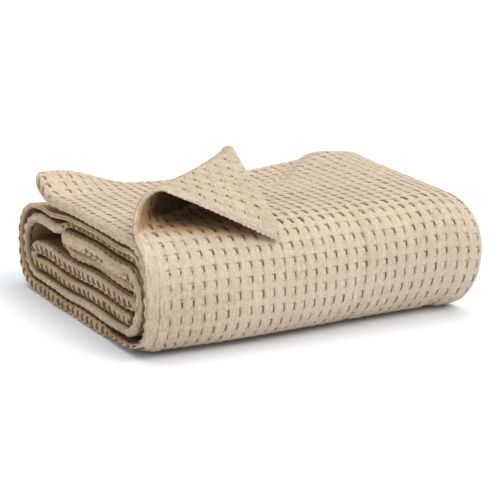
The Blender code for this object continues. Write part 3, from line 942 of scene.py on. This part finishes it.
def stripPoint(rows, lengths, w, rightEnd, reach, seed):
    # w is the distance round the profile from the middle of an end, mm; plus is the path's left side
    pathY, pathZ, leftY, leftZ, thick, number, inset, holes, offMiddle, sunk, beads = rows.T[:, :, None]
    along = lengths[:, None]
    onTop = number == runNumber["top"]
    toTip = np.clip(np.minimum(along, pathEnd - along) / strip["closing"], 0, 1)
    half = thick / 2 * np.sqrt(1 - (1 - toTip) ** 2)
    radius = np.clip(half, 0.5, strip["endRound"])
    mean = (half + radius) / 2
    quarter = np.pi / 2 * mean
    W = np.broadcast_to(w, (len(rows), len(w)))
    angle = np.clip(W / mean, -np.pi / 2, np.pi / 2)
    away = np.abs(W)
    onEnd = away < quarter
    depth = np.where(onEnd, radius * (1 - np.cos(angle)), radius + away - quarter)
    across = np.where(onEnd, np.sin(angle), np.sign(W)) * half
    normalX = np.where(onEnd, -np.cos(angle), 0.0)
    normalS = np.where(onEnd, np.sin(angle), np.sign(W))
    V = np.broadcast_to(along / weave["stripAlong"], W.shape)
    U = away / weave["across"] + (strip["rightShift"] if rightEnd else 0.0)

    atEnd = fade(away, quarter * 0.62 + 1, quarter * 0.62 + 4)
    far = smooth(away, reach + 2, reach + 6)
    topRim = np.where(onTop, fade(away, 6, 8.5), 0)
    plain = np.maximum(np.maximum(atEnd, topRim), far)
    opened = np.where(number > runNumber["base"], 1.0, 0.5) * np.ones(W.shape)
    atCorner = smooth(pathY, 215, 250) * fade(away, 60, 110)
    opened = np.where(onTop, 1 - 0.3 * atCorner, opened)
    flatter = np.where(number > runNumber["top"] - 0.1, strip["outerRelief"], 1)
    relief = weaveRelief(U, V, plain, opened, seed) * flatter
    slot, size = endHoles(pathY, pathZ, number, holes, offMiddle, along, V, W, quarter, seed)
    bead = np.cos(2 * np.pi * (V - np.round(V))) - 1
    # the thin cover shows as two plies, with a groove and painted shade between them
    split = np.where(number == runNumber["outerCover"], hump(W, 0.4, 0.9), 0) * atEnd
    slanted = strip["ridges"] * np.cos(2 * np.pi * (3 * V + W / 7))
    relief = relief + (beads * bead + slanted - strip["slotDepth"] * size * slot) * atEnd
    relief = relief - strip["splitDepth"] * split

    ragged = strip["ragged"] * softNoise(along / 21, W / 30, seed + 7)
    fromCorner = np.clip((pathEnd - along) / strip["cornerRound"], 0, 1)
    ragged = ragged + strip["cornerRadius"] * (1 - np.sqrt(1 - (1 - fromCorner) ** 2))
    ragged = ragged - np.where(onTop, strip["topReach"] * smooth(pathY, *strip["topReachSpan"]), 0)
    x = (depth + normalX * relief) * mm + (sunk + ragged) * mm * fade(away, *strip["raggedReach"])
    if rightEnd:
        x = bundle["length"] - strip["rightInset"] * mm - x
    side = across + normalS * relief
    y, z = (pathY + leftY * side) * mm, (pathZ + leftZ * side) * mm
    x = x + inset * mm * fade(x, 0.0, 0.12) + bundle["leftFan"] * (1 - 2 * x / bundle["length"])
    x, y, z = uneven(x, y, z)
    # the top layer's corner is a thick rounded roll, turned up
    corner = np.where(onTop, smooth(y, 0.235, 0.300) * fade(x, 0.020, 0.110), 0)
    flare = bundle["cornerFlare"] * (1 - np.clip(side / np.maximum(half, 1), -1, 1))
    z = z + corner * (bundle["cornerLift"] - flare)
    dropped = bundle["tuckedUnder"] * smooth(x, 0.012, 0.085) * fade(-pathY, -268, -215)
    z = z - np.where((number == runNumber["innerCover"]) & (W > 0), dropped, 0)
    shade = endShade(pathY, number, sunk, W, quarter, atEnd) * fade(x, *stripShade["right"])
    values = {"slot": np.maximum(slot * atEnd, stripShade["split"] * split), "shade": shade,
              "opened": opened, "short": 0.0}
    return toPart(x, y, z), np.stack([U, V, plain], -1), values


def buildStrip(name, fromLength, toLength, columns, rightEnd, reach, seed, dropFrom=everywhere):
    lengths, rows = stripRows(fromLength, toLength)
    points, coordinates, values = stripPoint(rows, lengths, columns, rightEnd, reach, seed)
    # the outside faces are pieces of their own, and their rows are left out of the ends
    covered = ((lengths > backStart + 0.01) & (lengths < backEnd - 0.01)) | (lengths > topStart + 0.01)
    keep = ~(covered[:, None] & (columns > dropFrom)[None, :])
    return clothPiece(name, columns, lengths, points, coordinates, values, keep, not rightEnd)


def nearLines(reach):
    # closer lines round a folded end, then the weave's own
    fine = cellLines(0, reach / weave["across"], fineAcross) * weave["across"]
    return np.concatenate([[0.0, 0.8, 1.7, 2.6, 3.5, 4.4], fine[fine > 5.2]])


def wholeCells(length):
    return round(length / weave["stripAlong"]) * weave["stripAlong"]


topStart = wholeCells(lengthAt("top", 80))
backStart, backEnd = wholeCells(lengthAt("outerCover", 292)), wholeCells(lengthAt("base", 100))
oneSide = np.concatenate([nearLines(strip["fineReach"]), strip["coarse"]])
bothSides = np.concatenate([-oneSide[:0:-1], oneSide])
faceLines = nearLines(bundle["length"] / mm - strip["rightInset"] - 3)
stripLeft = buildStrip("stripLeft", 0, pathEnd, bothSides, False, strip["fineReach"], 21, 0.01)
stripRight = buildStrip("stripRight", 0, pathEnd, bothSides, True, strip["fineReach"], 22, 9.0)
topLayer = buildStrip("topLayer", topStart, pathEnd, faceLines, False, everywhere, 21)
backCover = buildStrip("backCover", backStart, backEnd, faceLines, False, everywhere, 21)
wound = [stripLeft, stripRight, topLayer, backCover]
print("the wound strip:", round(pathEnd), [len(piece.data.polygons) for piece in wound])

# the floor
bpy.ops.mesh.primitive_plane_add(size=12, location=(0, 0, 0))
floor = bpy.context.object
floor.name = "floor"
pale = bpy.data.materials.new("paleFloor")
pale.use_nodes = True
surface = pale.node_tree.nodes["Principled BSDF"].inputs
surface["Base Color"].default_value = (0.90, 0.94, 0.99, 1)
surface["Roughness"].default_value = 0.8
floor.data.materials.append(pale)

pieces = [outerPly, plyUnderside, *wound]
for piece in pieces:
    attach(piece, "root")
    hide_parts("blanket")


# the light
light = {
    "sky": (0.975, 0.98, 0.985),
    "skyStrength": 0.58,
    "suns": [
        dict(name="front", comesFrom=(0.30, -0.76, 0.85), strength=1.42, angle=30, colour=(1.0, 0.965, 0.92)),
        dict(name="above", comesFrom=(0.04, 0.04, 1.0), strength=1.38, angle=60, colour=(1.0, 0.985, 0.96)),
    ],
}
world = bpy.data.worlds.new("studio")
bpy.context.scene.world = world
world.use_nodes = True
background = world.node_tree.nodes["Background"].inputs
background[0].default_value = (*light["sky"], 1)
background[1].default_value = light["skyStrength"]
for one in light["suns"]:
    bpy.ops.object.light_add(type="SUN", location=(0, 0, 2))
    sun = bpy.context.object
    sun.name = one["name"]
    sun.data.energy = one["strength"]
    sun.data.color = one["colour"]
    sun.data.angle = math.radians(one["angle"])
    sun.rotation_euler = (-Vector(one["comesFrom"])).to_track_quat("-Z", "Y").to_euler()

# the camera: angles in degrees, metres to the front left corner, and where that corner lies, in pixels
view = {
    "picture": 500,
    "focal": 2200,
    "sensor": 36,
    "elevation": 14.4,
    "azimuth": 26.6,
    "distance": 2.185,
    "cornerX": 149.8,
    "cornerY": 369.1,
}
bpy.ops.object.camera_add()
camera = bpy.context.object
camera.name = "camera"
e, a = math.radians(view["elevation"]), math.radians(view["azimuth"])
forward = Vector((math.sin(a) * math.cos(e), math.cos(a) * math.cos(e), -math.sin(e)))
right = Vector((math.cos(a), -math.sin(a), 0))
up = right.cross(forward)
middle = view["picture"] / 2
away = forward * view["focal"] + right * (view["cornerX"] - middle) - up * (view["cornerY"] - middle)
corner = Vector((-bundle["length"] / 2, -bundle["middleY"], 0))
camera.location = corner - away * (view["distance"] / view["focal"])
camera.rotation_euler = Matrix((right, up, -forward)).transposed().to_euler()
camera.data.sensor_width = view["sensor"]
camera.data.lens = view["focal"] * view["sensor"] / view["picture"]
camera.data.clip_end = 50
bpy.context.scene.camera = camera
bpy.context.scene.view_settings.view_transform = "Standard"
